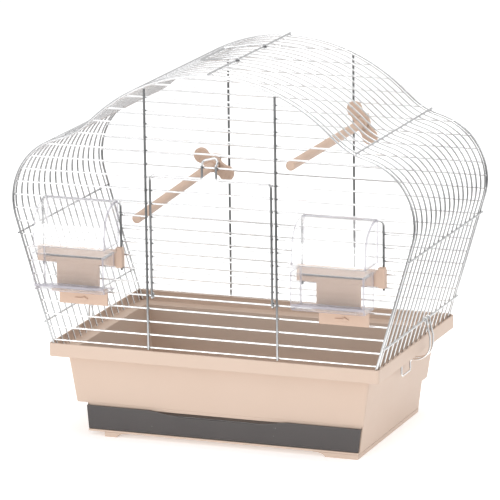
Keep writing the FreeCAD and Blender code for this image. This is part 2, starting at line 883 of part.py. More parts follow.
def perch_placed(piece, perch, turn):
    """Turn a perch piece about its rod and tilt the rod by its droop, at its place in the back panel."""
    height = base_height + bar_rises[perch.bar] + bar_pitch / 2
    placed = piece.copy()
    placed.rotate(Vector(0, 0, 0), ALONG_Y, turn)
    placed.rotate(Vector(0, 0, 0), ALONG_X, perch.droop)
    placed.translate(Vector(perch.place, bars_front - tilt_room(bar_pitch / 2, perch), height))
    return placed


def perch_rod(perch):
    rod = Part.makeCylinder(perch_diameter / 2, perch.length, Vector(0, -wing_wall, 0), -ALONG_Y)
    return perch_placed(rod, perch, 0)


def drum(radius, middle, reach):
    """Short round moulding with flats, from its middle back by reach, or forwards where that is negative."""
    ring = arc_stops(middle + ALONG_X * radius, middle, ALONG_Y, full_turn)
    return flat_face(ring[:-1]).extrude(ALONG_Y * reach)


def perch_wing(perch):
    """Two-lobed plate before the back bars, with pad, the rod's socket and the neck between two bars."""
    lobe_middle = wing_half - wing_lobe
    lobe_wall = wing_wall - wing_recess
    back = -ALONG_Y * wing_recess
    middle = Vector(0, 0, 0)
    front = -ALONG_Y * wing_wall
    socket = perch_diameter / 2 + press_clearance
    parts = [
        box_between(Vector(-lobe_middle, -wing_wall, -wing_waist),
                    Vector(lobe_middle, -wing_recess, wing_waist)),
        drum(wing_lobe, back - ALONG_X * lobe_middle, -lobe_wall),
        drum(wing_lobe, back + ALONG_X * lobe_middle, -lobe_wall),
        drum(wing_pad, middle, -wing_wall),
        drum(socket + socket_wall, front, -socket_depth),
        drum(neck_diameter / 2, middle, lock_start(perch) + lock_wall),
    ]
    wing = joined(parts).cut(Part.makeCylinder(socket, socket_depth, front, -ALONG_Y))
    return perch_placed(wing, perch, -perch.wing_turn)


def lock_start(perch):
    return tilt_room(bar_pitch / 2, perch) + bar_wire + tilt_room(lock_half, perch)


def perch_lock(perch):
    """Cross bar behind the back bars, pressed on the neck; upright it can't pass between them."""
    start = lock_start(perch)
    lock = box_between(Vector(-lock_width / 2, start, -lock_half),
                       Vector(lock_width / 2, start + lock_wall, lock_half))
    bore = drum(neck_diameter / 2 + press_clearance, ALONG_Y * start, lock_wall)
    return perch_placed(lock.cut(bore), perch, 0)


def perch_reach(perch):
    """How far back the lock of a perch reaches."""
    droop = math.radians(perch.droop)
    back = (lock_start(perch) + lock_wall) * math.cos(droop) + lock_half * math.sin(droop)
    return bars_front - tilt_room(bar_pitch / 2, perch) + back


feeder_reach = panel_place + cup_depth + feeder_flange
back_reach = max(rim_reach, perch_reach(left_perch), perch_reach(right_perch))
depth_shift = (feeder_reach - back_reach) / 2


def left_of(shape):
    return shape.mirror(Vector(0, 0, 0), ALONG_X)


def save(name, solids):
    """Write one part, moved so that the middle of the whole depth comes to y = 0."""
    for solid in solids:
        if not solid.isValid():
            raise ValueError(name + " holds a bad solid")
    shape = Part.Compound(solids) if len(solids) > 1 else solids[0].copy()
    shape.translate(ALONG_Y * depth_shift)
    shape.exportStep(os.path.join("parts", name + ".step"))


if __name__ == "__main__":
    os.makedirs("parts", exist_ok=True)
    save("arch_wires", arches())
    save("front_outline", [outline_wire(frame_wire, frame_inset, -panel_place)])
    save("back_outline", [outline_wire(frame_wire, frame_inset, panel_place)])
    save("front_bars", front_bars())
    save("back_bars", back_bars())
    save("door_frame", [door_frame()])
    save("door_bars", door_bars())
    save("front_jambs", uprights(-panel_place))
    save("back_uprights", uprights(panel_place))
    save("port_frame_left", [port_frame(-1)])
    save("port_frame_right", [port_frame(1)])
    save("top_cross_wire", [top_cross_wire()])
    save("valley_cross_wires", cross_pair(valley_cross_rise))
    save("upper_cross_wires", cross_pair(upper_cross_rise))
    save("lower_cross_wires", cross_pair(lower_cross_rise))
    save("carry_handle", [carry_handle()])
    save("side_clip_right", [side_clip()])
    save("side_clip_left", [left_of(side_clip())])
    save("base_tray", [base_tray()])
    save("drawer", [drawer()])
    save("feeder_hood_right", [feeder_hood()])
    save("feeder_hood_left", [left_of(feeder_hood())])
    save("feeder_cup_right", [feeder_cup()])
    save("feeder_cup_left", [left_of(feeder_cup())])
    save("feeder_bracket_right", [feeder_bracket()])
    save("feeder_bracket_left", [left_of(feeder_bracket())])
    for name, perch in (("left", left_perch), ("right", right_perch)):
        save("perch_rod_" + name, [perch_rod(perch)])
        save("perch_wing_" + name, [perch_wing(perch)])
        save("perch_lock_" + name, [perch_lock(perch)])
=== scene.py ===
"""Looks of the wire bird cage: its visible pieces, their finishes, the studio and the camera.

Meshes are worked out in millimetres about the middle of the wire cage: X along the width, Y from the
front to the back, Z up from the floor. A piece moves them to the middle of the whole depth and turns
them into metres at the end.
"""

import collections
import math

import bmesh
import bpy
from mathutils import Matrix, Quaternion, Vector


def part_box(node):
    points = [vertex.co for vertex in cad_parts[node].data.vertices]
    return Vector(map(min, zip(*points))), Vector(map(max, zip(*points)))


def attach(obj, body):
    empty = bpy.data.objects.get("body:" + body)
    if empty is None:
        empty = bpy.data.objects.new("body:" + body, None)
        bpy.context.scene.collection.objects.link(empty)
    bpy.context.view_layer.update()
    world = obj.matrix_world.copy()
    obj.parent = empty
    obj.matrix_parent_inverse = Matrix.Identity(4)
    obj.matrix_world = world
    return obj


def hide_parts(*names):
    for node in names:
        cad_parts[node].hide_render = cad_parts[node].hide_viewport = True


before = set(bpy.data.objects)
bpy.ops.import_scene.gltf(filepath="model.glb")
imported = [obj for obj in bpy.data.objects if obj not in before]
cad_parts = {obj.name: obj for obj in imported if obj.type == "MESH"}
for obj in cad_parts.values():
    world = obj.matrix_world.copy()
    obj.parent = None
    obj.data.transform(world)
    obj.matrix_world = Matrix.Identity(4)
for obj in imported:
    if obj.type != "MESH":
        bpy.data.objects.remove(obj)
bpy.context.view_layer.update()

METRES = 0.001
ALONG_X = Vector((1, 0, 0))
ALONG_Y = Vector((0, 1, 0))
ALONG_Z = Vector((0, 0, 1))

SIDES = {"left": -1, "right": 1}

arch_low, arch_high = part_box("arch_wires")
depth_shift = ALONG_Y * ((arch_low[1] + arch_high[1]) / 2 / METRES)


def node_box(node):
    """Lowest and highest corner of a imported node, in millimetres about the middle of the cage."""
    return [Vector(corner) / METRES - depth_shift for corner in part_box(node)]


# Wires
frame_wire = 2.5
bar_wire = 2.0
arch_wire = 1.8
cross_wire = 2.2
handle_wire = 2.8
clip_wire = 2.0
wire_sides = 12
bend_step = 7.5
cut_edge = 0.35
hinge_clearance = 0.1
running_gap = 0.3
eye_turn = 270.0
bead_squash = 0.45

# Cage outline, heights above the rim
cage_depth = 240.0
base_half = 180.1
shoulder_half = 222.0
shoulder_radius = 69.4
shoulder_rise = 152.1
valley_half = 150.8
valley_rise = 225.2
valley_radius = 68.0
crown_radius = 188.2
crown_rise = 295.3
outline_drop = 10.2
arch_count = 16
arch_pitch = 14.95
lower_cross_rise = 22.4
upper_cross_rise = 116.4
valley_cross_rise = 223.0

# Panel bars, uprights, door and ports
bar_count = 21
bar_pitch = 14.03
first_bar_rise = 2.4
upright_half = 71.8
upright_end_rise = 0.6
door_half = 66.8
door_hinge_bar = 4
door_latch_bar = 14
door_top_rise = 187.3
door_corner = 5.0
latch_left = 8.7
latch_right = 6.8
latch_lean = 0.5
latch_rise = 4.6
latch_bow = 10.2
latch_bend = 2.2
bow_bend = 4.4
port_centre = 144.3
port_half = 44.1
port_corner = 5.0
port_low_bar = 6
port_high_bar = 11
port_leg_end = 2.6

# Base
base_low, base_high = node_box("base_tray")
base_height = base_high.z
rim_half = base_high.x
rim_reach = base_high.y
rim_band = 14.6
band_wall = 1.8
rim_corner = 3.0
ledge_drop = 11.3
tub_top_drop = 4.5
ledge_wall = 2.2
tub_wall = 2.2
tub_corner = 4.0
tub_foot_corner = 2.0
tub_top_half = 169.5
tub_top_front = 110.4
tub_top_back = 108.0
tub_bottom_half = 160.5
tub_bottom_front = 106.4
tub_bottom_back = 102.0
bay_height = 34.4
bay_left_top = 147.8
bay_left_bottom = 145.8
bay_right_bottom = 156.3
bay_back = 84.0
bay_floor = 2.2
bay_rail = 3.2
lip_reach = 110.5
foot_height = 4.9
foot_depth = 26.0
foot_curve = 14.0
foot_draft = 0.7
left_foot_outer = 127.3
left_foot_inner = 100.2
right_foot_inner = 105.4
runner_wall = 5.0
mould_edge = 0.6
tub_edge = 1.2
corner_steps = 8
curve_steps = 6
edge_steps = 4

# Drawer
drawer_low, drawer_high = node_box("drawer")
drawer_plate = 3.0
plate_inset = 0.8
plate_top_inset = 1.8
plate_drop = 1.8
drawer_wall = 1.8
drawer_height = 21.5
drawer_corner = 3.0
drawer_edge = 1.5
drawer_gap = 1.2
scoop_half = 77.0
scoop_flat_half = 39.0
scoop_depth = 4.8

# Handle and clips
handle_half = 40.5
handle_grip_half = 36.0
handle_leg = 43.0
handle_shoulder = 14.3
handle_corner = 9.0
clip_spacing = 10.0
clip_centre = 14.95
clip_bulge = 10.5
clip_bulge_rise = 4.0
clip_catch_reach = 11.5
clip_tail_drop = 7.0
clip_tab_width = 28.0
clip_tab_drop = 12.0
clip_bend = 3.0
clip_sweep = 17.0
clip_bridge_bend = 1.6

# Feeders and their brackets
feeder_middle = 142.6
feeder_wall = 1.6
feeder_edge = 1.7
collar_wall = 1.2
flange_reach = 2.5
flange_wall = 1.2
hood_half = 40.4
hood_depth = 39.0
hood_lean = 1.2
hood_curve = 30.0
roof_steps = 12
hood_top_rise = 158.4
parting_rise = 105.8
collar_height = 8.3
cup_middles = {"left": 144.3, "right": 140.9}
cup_half = 40.1
cup_depth = 40.0
cup_bevel = 6.0
cup_bevel_depth = 3.5
bracket_depth = 8.3
bracket_wall = 2.6
bracket_half = 47.6
bracket_bar_top = 106.1
bracket_bar_height = 16.5
bracket_box_rise = 3.3
bracket_box_width = 7.0
bracket_box_height = 21.5
bracket_plate_inner = 26.5
bracket_plate_outer = 22.0
bracket_shelf_rise = 64.7
bracket_shelf_depth = 14.0
bracket_lip_inner = 23.7
bracket_lip_outer = 30.6
bracket_lip_rise = 46.0
jaw_grip = 1.6
jaw_gap = 1.5
jaw_wall = 1.8
lap = 0.2
arrow_length = 15.0
arrow_head = 6.0
arrow_shaft = 2.2
arrow_wall = 1.3
arrow_rise = 52.3
arrow_shift = 1.6
arrow_edge = arrow_wall / 3

# Perches
Perch = collections.namedtuple("Perch", "place bar length droop wing_turn")
perches = {"left": Perch(-86.6, 10, 221.0, 3.1, -33.0), "right": Perch(84.2, 14, 220.0, 0.3, -59.5)}
perch_diameter = 10.0
perch_edge = 0.9
rod_sides = 40
wing_half = 25.5
wing_lobe = 8.6
wing_waist = 7.2
wing_wall = 6.0
wing_pad = 8.6
wing_recess = 1.2
wing_edge = 1.0
lobe_steps = 24
rib_pitch = 3.6
rib_half = 0.9
rib_rise = 0.4
rib_edge = 0.35
rib_inset = 2.0
socket_wall = 2.0
socket_depth = 7.0
socket_fit = 0.02
neck_diameter = 8.0
lock_half = 9.5
lock_width = 9.6
lock_wall = 3.5

# Angles in degrees above which an edge is rounded or drawn sharp, and steps of a rounded edge
round_angle = 25.0
crease_angle = 35.0
round_segments = 3


def linked(name, data):
    """New object in the scene."""
    made = bpy.data.objects.new(name, data)
    bpy.context.scene.collection.objects.link(made)
    return made


def mirror(point):
    return Vector((-point.x, point.y, point.z))


def arc_steps(steps, turn=math.pi / 2):
    """Cosines and sines at even steps along a turn."""
    angles = [turn * place / steps for place in range(steps + 1)]
    return [(math.cos(angle), math.sin(angle)) for angle in angles]


def circle(middle, side, across, radius, sides):
    return [middle + side * (radius * cosine) + across * (radius * sine)
            for cosine, sine in arc_steps(sides, math.tau)[:-1]]


def path_headings(path):
    runs = [(after - before).normalized() for before, after in zip(path, path[1:])]
    inner = [(before + after).normalized() for before, after in zip(runs, runs[1:])]
    return [runs[0]] + inner + [runs[-1]]


def swept(near, far, edge, open_sides=()):
    """Solid between two outlines, whose listed sides stay open; its rounded edges get index 1."""
    solid = bmesh.new()
    near = [solid.verts.new(corner) for corner in near]
    far = [solid.verts.new(corner) for corner in far]
    solid.faces.new(near[::-1])
    solid.faces.new(far)
    for place in range(len(near)):
        if place not in open_sides:
            solid.faces.new((near[place - 1], near[place], far[place], far[place - 1]))
    bmesh.ops.recalc_face_normals(solid, faces=solid.faces)
    if edge:
        sharp = [item for item in solid.edges if item.calc_face_angle(0) > math.radians(round_angle)]
        made = bmesh.ops.bevel(solid, geom=sharp, offset=edge, segments=round_segments, profile=0.5,
                               affect="EDGES", clamp_overlap=True)
        for face in made["faces"]:
            face.material_index = 1
    return solid


class Piece:
    """Points and faces in millimetres that become one object of the model."""

    def __init__(self):
        self.points = []
        self.faces = []
        self.edge_faces = []

    def skin(self, rings, closed=False):
        """Faces between rings of equally many points, and over both ends unless they close."""
        start = len(self.points)
        count = len(rings[0])
        for ring in rings:
            self.points += ring
        for level in range(len(rings) if closed else len(rings) - 1):
            low = start + level * count
            high = start + (level + 1) % len(rings) * count
            for place in range(count):
                after = (place + 1) % count
                self.faces.append((low + place, low + after, high + after, high + place))
        if not closed:
            last = start + (len(rings) - 1) * count
            self.faces.append(tuple(range(start + count - 1, start - 1, -1)))
            self.faces.append(tuple(range(last, last + count)))

    def take(self, mesh):
        """Add all of a bmesh, and free it."""
        start = len(self.points)
        mesh.verts.index_update()
        self.points += [vert.co.copy() for vert in mesh.verts]
        for face in mesh.faces:
            if face.material_index:
                self.edge_faces.append(len(self.faces))
            self.faces.append(tuple(start + vert.index for vert in face.verts))
        mesh.free()

    def wire(self, path, diameter):
        """Round wire along a path, with the edges of its cut ends broken."""
        headings = path_headings(path)
        first = path[0] + headings[0] * cut_edge
        last = path[-1] - headings[-1] * cut_edge
        path = [path[0], first] + path[1:-1] + [last, path[-1]]
        headings = [headings[0]] + headings + [headings[-1]]
        end = diameter / 2 - cut_edge
        radii = [end] + [diameter / 2] * (len(path) - 2) + [end]
        side = headings[0].orthogonal().normalized()
        rings = []
        for point, heading, radius in zip(path, headings, radii):
            side = (side - heading * side.dot(heading)).normalized()
            rings.append(circle(point, side, heading.cross(side), radius, wire_sides))
        self.skin(rings)

    def weld(self, point, across, reach):
        """Small bead where two wires are welded; across is the line between their middles."""
        bead = bmesh.new()
        bmesh.ops.create_icosphere(bead, subdivisions=1, radius=reach)
        squash = across.normalized()
        for vert in bead.verts:
            vert.co = point + vert.co - squash * (vert.co.dot(squash) * bead_squash)
        self.take(bead)

    def slab(self, profile, near, far, edge=0):
        """Flat shape seen from the front, between two depths."""
        self.take(swept(*[[(x, depth, z) for x, z in profile] for depth in (near, far)], edge))

    def block(self, low, high, edge):
        """Box between two corners."""
        profile = [(low[0], low[2]), (high[0], low[2]), (high[0], high[2]), (low[0], high[2])]
        self.slab(profile, low[1], high[1], edge)

    def turned(self, start, heading, profile, sides=32):
        """Solid of revolution; the profile holds reach along the heading and radius."""
        side = heading.orthogonal().normalized()
        across = heading.cross(side)
        self.skin([circle(start + heading * reach, side, across, radius, sides)
                   for reach, radius in profile])

    def moved(self, matrix):
        self.points = [matrix @ point for point in self.points]

    def mirrored(self):
        self.points = [mirror(point) for point in self.points]

    def done(self, name, body, slot, finish, nodes, edge_finish=None):
        """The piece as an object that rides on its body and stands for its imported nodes."""
        mesh = bpy.data.meshes.new(name)
        mesh.from_pydata([(point + depth_shift) * METRES for point in self.points], [], self.faces)
        mesh.materials.append(finish)
        if edge_finish:
            mesh.materials.append(edge_finish)
            for place in self.edge_faces:
                mesh.polygons[place].material_index = 1
        outward = bmesh.new()
        outward.from_mesh(mesh)
        bmesh.ops.recalc_face_normals(outward, faces=outward.faces)
        outward.to_mesh(mesh)
        outward.free()
        mesh.shade_smooth()
        mesh.set_sharp_from_angle(angle=math.radians(crease_angle))
        piece = linked(name, mesh)
        if slot != "zinc_wire":
            piece.modifiers.new("flat_faces", "WEIGHTED_NORMAL").keep_sharp = True
        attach(piece, body)
        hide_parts(*nodes)

    def done_wire(self, name, node, body="cage"):
        """The piece as one of the zinc-plated wires."""
        self.done(name, body, "zinc_wire", arch_zinc_lighter_painted_shade if node == "arch_wires" else zinc, [node])


# Bent wires

def arc_path(start, centre, axis, turn, step=bend_step):
    """Points along an arc from start; turn is in degrees."""
    count = max(2, math.ceil(turn / step))
    swings = [Quaternion(axis, math.radians(turn * place / count)) for place in range(count + 1)]
    return [centre + swing @ (start - centre) for swing in swings]


def bent_path(points, bends, step=bend_step):
    """Path of a wire through the points, with a bend of the given radius at each inner one."""
    heading = (points[1] - points[0]).normalized()
    path = [points[0]]
    for corner, after, radius in zip(points[1:], points[2:], bends):
        leave = (after - corner).normalized()
        turn = heading.angle(leave)
        start = corner - heading * (radius * math.tan(turn / 2))
        axis = heading.cross(leave).normalized()
        bend = arc_path(start, start + axis.cross(heading) * radius, axis, math.degrees(turn), step)
        if (start - path[-1]).length < running_gap:
            bend = bend[1:]
        path += bend
        heading = leave
    if (points[-1] - path[-1]).length > running_gap / 2:
        path.append(points[-1])
    return path


def eye_radius(pin, wire):
    """Bend radius of an eye that turns on a round pin."""
    return (pin + wire) / 2 + hinge_clearance


# Cage outline in the plane of one panel, heights above the rim

def tangent_heading(point, centre, radius, turn):
    """Direction from a point to where a line through it touches a circle, on the side that turn names."""
    to_centre = centre - point
    angle = math.atan2(to_centre.z, to_centre.x) + turn * math.asin(radius / to_centre.length)
    return Vector((math.cos(angle), 0, math.sin(angle)))


def meeting(first, first_heading, second, second_heading):
    """Point where two lines in the plane of a panel meet."""
    across = first_heading.x * second_heading.z - first_heading.z * second_heading.x
    apart = second - first
    return first + first_heading * ((apart.x * second_heading.z - apart.z * second_heading.x) / across)


def outline_path(inset=0):
    """Smooth path of the whole outline, moved in towards the cage by inset, from right to left."""
    foot = Vector((base_half, 0, 0))
    valley = Vector((valley_half, 0, valley_rise))
    shoulder_centre = Vector((shoulder_half - shoulder_radius, 0, shoulder_rise))
    crown_centre = Vector((0, 0, crown_rise - crown_radius))
    side = tangent_heading(foot, shoulder_centre, shoulder_radius, -1)
    saddle = tangent_heading(valley, shoulder_centre, shoulder_radius, 1)
    ridge = tangent_heading(valley, crown_centre, crown_radius, -1)
    shoulder = meeting(foot, side, valley, saddle)
    peak = meeting(valley, ridge, Vector(), ALONG_Z)
    sole = foot - side * (outline_drop / side.z)
    corners = [sole, shoulder, valley, peak]
    bends = [shoulder_radius, valley_radius, crown_radius]
    whole = corners + [mirror(corner) for corner in reversed(corners[:-1])]
    path = bent_path(whole, bends + bends[-2::-1], bend_step / 2)
    headings = path_headings(path)
    return [point + Vector((-heading.z, 0, heading.x)) * inset for point, heading in zip(path, headings)]


outline = outline_path()


def outline_at(rise):
    """Point of the right half of the outline at a height above the rim, and the way out of the cage."""
    for before, after in zip(outline, outline[1:]):
        if before.z <= rise <= after.z:
            heading = (after - before).normalized()
            point = before.lerp(after, (rise - before.z) / (after.z - before.z))
            return point, Vector((heading.z, 0, -heading.x))
    raise ValueError("the outline doesn't reach this height")


def lifted(path, place):
    return [point + Vector((0, place, base_height)) for point in path]


panel_place = cage_depth / 2
frame_inset = (frame_wire - arch_wire) / 2
bar_layer = (frame_wire + bar_wire) / 2
bar_rises = [first_bar_rise + count * bar_pitch for count in range(bar_count)]
arch_places = [(count - (arch_count - 1) / 2) * arch_pitch for count in range(arch_count)]


def lay_bar(piece, near, far, rise, layer, frame_place, welds):
    """Level bar of a panel, with a bead at each place along it where it lies on the frame."""
    height = base_height + rise
    piece.wire([Vector((near, layer, height)), Vector((far, layer, height))], bar_wire)
    for x in welds:
        piece.weld(Vector((x, (layer + frame_place) / 2, height)), ALONG_Y, bar_wire / 2)


def bar_stretches(panel):
    """Every stretch of bar in a panel as its two ends and its height above the rim."""
    jamb = upright_half - frame_wire / 2
    port_near = port_centre - port_half + frame_wire / 2
    port_far = port_centre + port_half - frame_wire / 2
    stretches = []
    for count, rise in enumerate(bar_rises):
        reach = outline_at(rise)[0].x
        if panel == "back" or not door_hinge_bar < count < door_latch_bar:
            stretches.append((-reach, reach, rise))
            continue
        halves = [(jamb, reach)]
        if port_low_bar < count < port_high_bar:
            halves = [(jamb, port_near), (port_far, reach)]
        for near, far in halves:
            stretches += [(near, far, rise), (-far, -near, rise)]
    return stretches


def build_panels():
    """Outlines, bars and uprights of the front and the back panel."""
    crown_centre = crown_rise - crown_radius
    top = crown_centre + math.sqrt((crown_radius - frame_inset - frame_wire / 2) ** 2 - upright_half ** 2)
    ends = (upright_end_rise, top - frame_wire / 4)
    for panel, outwards, upright_node in (("front", -1, "front_jambs"), ("back", 1, "back_uprights")):
        place = outwards * panel_place
        outline_wire, bars, uprights = Piece(), Piece(), Piece()
        outline_wire.wire(lifted(outline_path(frame_inset), place), frame_wire)
        outline_wire.done_wire(panel + "_outline_wire", panel + "_outline")
        for near, far, rise in bar_stretches(panel):
            welds = [near + frame_wire / 2, far - frame_wire / 2]
            welds += [x for x in (-upright_half, upright_half) if near < x - frame_wire < far]
            lay_bar(bars, near, far, rise, place - outwards * bar_layer, place, welds)
        bars.done_wire(panel + "_panel_bars", panel + "_bars")
        for x in (-upright_half, upright_half):
            uprights.wire([Vector((x, place, base_height + rise)) for rise in ends], frame_wire)
        uprights.done_wire(panel + "_upright_wires", upright_node)


def build_port_frames():
    low = base_height + bar_rises[port_low_bar] - port_leg_end
    high = base_height + bar_rises[port_high_bar]
    for side, sign in SIDES.items():
        near = sign * port_centre - port_half
        far = sign * port_centre + port_half
        corners = ((near, low), (near, high), (far, high), (far, low))
        points = [Vector((x, -panel_place, z)) for x, z in corners]
        port_wire = Piece()
        port_wire.wire(bent_path(points, [port_corner] * 2), frame_wire)
        port_wire.done_wire("port_wire_" + side, "port_frame_" + side)


# Roof: arches and the wires that run over them

def cross_place(rise):
    """Middle of a wire that lies on the outside of the arches at a height above the rim."""
    point, outwards = outline_at(rise)
    return point + outwards * ((arch_wire + cross_wire) / 2) + ALONG_Z * base_height


pivot_height = base_height + crown_rise + (arch_wire + cross_wire) / 2


def build_arches():
    arches = Piece()
    for place in arch_places:
        arches.wire(lifted(outline, place), arch_wire)
    arches.done_wire("arches", "arch_wires")


def lay_cross_wire(piece, middle, inwards):
    """Wire along the depth on the outside of the arches, with a bead at each of them."""
    reach = ALONG_Y * (panel_place + frame_wire / 2)
    piece.wire([middle - reach, middle + reach], cross_wire)
    for place in arch_places:
        piece.weld(middle + inwards * (cross_wire / 2) + ALONG_Y * place, inwards, arch_wire / 2)


def build_cross_wires():
    rises = {"lower": lower_cross_rise, "upper": upper_cross_rise, "valley": valley_cross_rise}
    for name, rise in rises.items():
        pair = Piece()
        middle, inwards = cross_place(rise), -outline_at(rise)[1]
        lay_cross_wire(pair, middle, inwards)
        lay_cross_wire(pair, mirror(middle), mirror(inwards))
        pair.done_wire(name + "_cross_pair", name + "_cross_wires")
    top = Piece()
    lay_cross_wire(top, ALONG_Z * pivot_height, -ALONG_Z)
    top.done_wire("crown_wire", "top_cross_wire")


# Door, handle and clips

door_plane = -panel_place + bar_layer - eye_radius(bar_wire, frame_wire)


def build_door():
    """Door ring, bent from one wire with its hinge eyes and latch bow, and the bars on it."""
    low = base_height + bar_rises[door_hinge_bar]
    high = base_height + door_top_rise
    over = base_height + bar_rises[door_latch_bar] + bar_layer + running_gap
    radius = eye_radius(bar_wire, frame_wire)

    def at(x, z, back=0):
        return Vector((x, door_plane + back, z))

    points = [
        at(-door_half, low), at(-door_half, high), at(-latch_left, high),
        at(-latch_left, over, -latch_lean), at(-latch_left, over + latch_rise, bar_layer),
        at(latch_right + latch_rise, over + latch_bow, bar_layer), at(latch_right, over, -latch_lean),
        at(latch_right, high), at(door_half, high), at(door_half, low),
    ]
    bends = [door_corner, latch_bend, latch_bend, bow_bend]
    around = bent_path(points, bends + bends[::-1])
    eyes = [arc_path(at(x, low), at(x, low, radius), ALONG_X, eye_turn) for x in (-door_half, door_half)]
    ring = Piece()
    ring.wire(eyes[0][:0:-1] + around + eyes[1][1:], frame_wire)
    ring.done_wire("door_ring", "door_frame", "door")
    bars = Piece()
    reach = door_half + frame_wire / 2
    for rise in bar_rises[door_hinge_bar + 1:door_latch_bar]:
        lay_bar(bars, -reach, reach, rise, door_plane + bar_layer, door_plane, (-door_half, door_half))
    bars.done_wire("door_grille", "door_bars", "door")


def build_handle():
    """Wire bail folded down on the left of the crown."""
    radius = eye_radius(cross_wire, handle_wire)
    pivot = ALONG_Z * pivot_height
    level = pivot + ALONG_Z * radius
    shoulder = -ALONG_X * handle_shoulder
    grip = -ALONG_X * handle_leg
    near = ALONG_Y * handle_half
    near_grip = ALONG_Y * handle_grip_half
    points = [level - near, level + shoulder - near, level + grip - near_grip,
              level + grip + near_grip, level + shoulder + near, level + near]
    bail = bent_path(points, [handle_corner] * 4)
    front_eye, back_eye = [arc_path(level + end, pivot + end, ALONG_Y, eye_turn) for end in (-near, near)]
    handle = Piece()
    handle.wire(front_eye[:0:-1] + bail + back_eye[1:], handle_wire)
    above_crown = pivot_height - base_height - crown_rise + crown_radius
    rest = crown_radius + arch_wire / 2 + running_gap + handle_wire / 2 - radius
    fold = Matrix.Rotation(-math.acos(rest / above_crown), 4, "Y")
    handle.moved(Matrix.Translation(pivot) @ fold @ Matrix.Translation(-pivot))
    handle.done_wire("handle_bail", "carry_handle", "handle")


def clip_path():
    """Right-hand clip: hooked over the lower cross wire, round the rim and up against its underside."""
    pivot = cross_place(lower_cross_rise)
    eye = eye_radius(cross_wire, clip_wire)
    outside = pivot.x + eye
    inside = pivot.x - eye
    near = clip_centre - clip_spacing / 2
    far = clip_centre + clip_spacing / 2
    tab = near - clip_tab_width
    catch_x = rim_half - clip_catch_reach
    catch = base_height - rim_band - running_gap
    bulge_x = rim_half + clip_bulge
    low = catch - clip_tail_drop
    tab_low = low - clip_tab_drop
    leg = [(catch_x, low), (bulge_x, low), (bulge_x, base_height + clip_bulge_rise),
           (outside, pivot.z - clip_bend), (outside, pivot.z + eye), (inside, pivot.z + eye),
           (inside, pivot.z - eye)]
    points = [(catch_x, far, catch)] + [(x, far, z) for x, z in leg] + [(x, near, z) for x, z in leg[::-1]]
    points += [(catch_x, near, tab_low), (catch_x, tab, tab_low), (catch_x, tab, low)]
    down = [clip_bend, clip_sweep, clip_bend, clip_bend, eye, eye]
    bends = down + [clip_bridge_bend] * 2 + down[::-1] + [clip_bend] * 2
    return bent_path([Vector(point) for point in points], bends)


def build_clips():
    for side in SIDES:
        clip = Piece()
        clip.wire(clip_path(), clip_wire)
        if side == "left":
            clip.mirrored()
        clip.done_wire("clip_wire_" + side, "side_clip_" + side, "clip_" + side)


# Base

rim = (rim_half, rim_half, rim_reach, rim_reach)
tub_top = (tub_top_half, tub_top_half, tub_top_front, tub_top_back)
tub_bottom = (tub_bottom_half, tub_bottom_half, tub_bottom_front, tub_bottom_back)
bay_top = (bay_left_top, tub_bottom_half, tub_bottom_front, bay_back)
ledge_height = base_height - ledge_drop
ledge_share = (ledge_height - bay_height) / (base_height - tub_top_drop - bay_height)
tub_ledge = [low + (high - low) * ledge_share for low, high in zip(tub_bottom, tub_top)]


def rounded_ring(reaches, inset, corner, height):
    """Rectangle with round corners; left, right, front and back reaches are moved in by inset."""
    left, right, near, far = [reach - inset for reach in reaches]
    radius = max(corner - inset, mould_edge / 2)
    points = []
    for x, y, start in ((right - radius, -near + radius, -1), (right - radius, far - radius, 0),
                        (-left + radius, far - radius, 1), (-left + radius, -near + radius, 2)):
        for place in range(corner_steps + 1):
            angle = (start + place / corner_steps) * math.pi / 2
            points.append(Vector((x + radius * math.cos(angle), y + radius * math.sin(angle), height)))
    return points


def quarter(radius):
    """Inset and lift of a round edge, from the flat under it to the wall beside it."""
    return [(radius * (1 - sine), radius * (1 - cosine)) for cosine, sine in arc_steps(edge_steps)]


def round_top(wall, height, steps):
    """Inset and height over the round top of a thin wall, from its outside to its inside."""
    half = wall / 2
    return [(half - half * cosine, height - half + half * sine)
            for cosine, sine in arc_steps(steps, math.pi)]


def tub_rings():
    """Rings in a loop: from the opening over the bay, up outside, over the rim and down inside."""
    under = ledge_height - ledge_wall
    half_wall = band_wall / 2
    band_low = base_height - rim_band + half_wall
    floor = bay_height + tub_wall
    rows = [(bay_top, tub_wall, 0, bay_height)]
    rows += [(tub_bottom, inset, tub_foot_corner, bay_height + lift) for inset, lift in quarter(tub_edge)]
    rows += [(tub_ledge, 0, tub_corner, under), (rim, band_wall, rim_corner, under)]
    rows += [(rim, half_wall + half_wall * cosine, rim_corner, band_low - half_wall * sine)
             for cosine, sine in arc_steps(curve_steps, math.pi)]
    rows += [(rim, inset, rim_corner, height)
             for inset, height in round_top(band_wall, base_height, curve_steps)]
    rows += [(rim, band_wall, rim_corner, ledge_height + mould_edge),
             (rim, band_wall + mould_edge, rim_corner, ledge_height),
             (tub_ledge, tub_wall - mould_edge, tub_corner, ledge_height),
             (tub_ledge, tub_wall, tub_corner, ledge_height - mould_edge)]
    rows += [(tub_bottom, tub_wall + inset, tub_corner, floor + lift)
             for inset, lift in reversed(quarter(mould_edge))]
    rows.append((bay_top, tub_wall, 0, floor))
    return [rounded_ring(*row) for row in rows]


def foot_shape(curve_end, reach, outer, outer_top):
    """Foot seen from the front, whose inner end curves up over its reach."""
    curve = [(curve_end + reach * sine, foot_height * cosine) for cosine, sine in arc_steps(curve_steps)]
    return curve + [(outer, 0), (outer_top, foot_height)]


